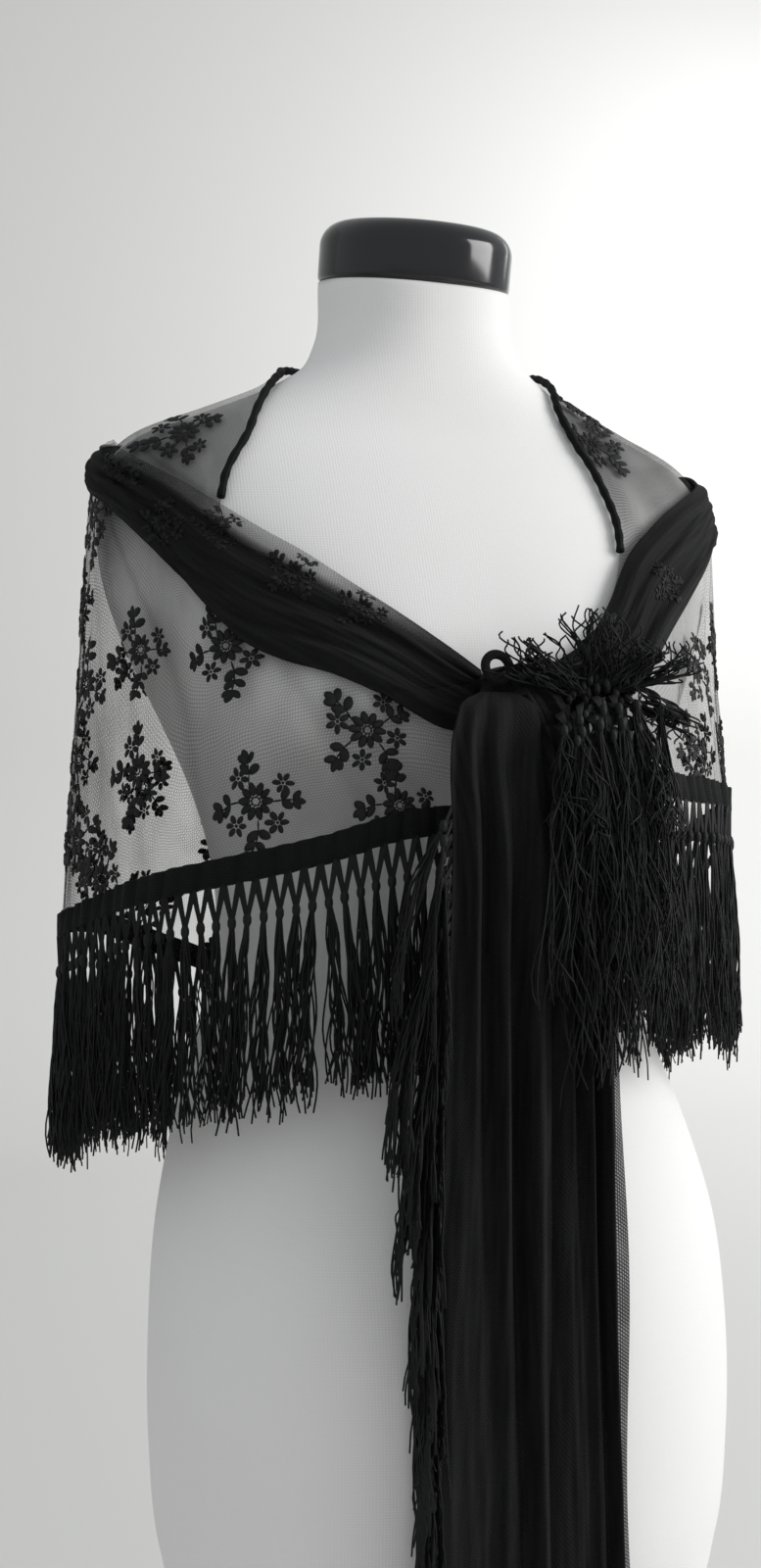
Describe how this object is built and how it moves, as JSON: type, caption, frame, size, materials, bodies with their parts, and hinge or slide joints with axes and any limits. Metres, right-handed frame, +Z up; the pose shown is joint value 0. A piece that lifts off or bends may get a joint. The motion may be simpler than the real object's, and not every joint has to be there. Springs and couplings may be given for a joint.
{
  "type": "lace shawl on a dress form",
  "caption": "Black embroidered net shawl with a knotted fringe, tied at the front of a white limbless dress form with a black neck cap.",
  "frame": {"origin": "centre of the underside of the stand's round base", "axes": "+Z up along the form's neck, -Y towards the front where the knot is tied, +X towards the form's left shoulder"},
  "size_m": [0.4018, 0.3488, 1.0528],
  "materials": {
    "white_jersey": "smooth knit",
    "black_gloss": "polished",
    "dark_painted_steel": "satin",
    "embroidered_net": "sheer net with embroidered sprays",
    "folded_net": "net in many layers",
    "woven_trim": "close woven band",
    "fringe_thread": "loose twisted thread"
  },
  "bodies": {
    "root": {"dress_form": "white_jersey", "neck_cap": "black_gloss", "stand_base": "dark_painted_steel", "stand_pole": "dark_painted_steel", "stand_socket": "dark_painted_steel", "shawl_wrap": "embroidered_net", "hem_band": "woven_trim", "neck_edge": "woven_trim", "collar_fold_left": "folded_net", "collar_fold_right": "folded_net", "knot_core": "folded_net", "knot_cross": "folded_net", "knot_loop": "folded_net", "tail_front": "folded_net", "tail_back": "folded_net", "hem_fringe_left_front": "fringe_thread", "hem_fringe_left_back": "fringe_thread", "hem_fringe_right_back": "fringe_thread", "hem_fringe_right_front": "fringe_thread", "tail_front_side_fringe": "fringe_thread", "tail_front_end_fringe": "fringe_thread", "tail_back_end_fringe": "fringe_thread", "knot_fringe": "fringe_thread", "knot_tuft": "fringe_thread"}
  },
  "joints": []
}
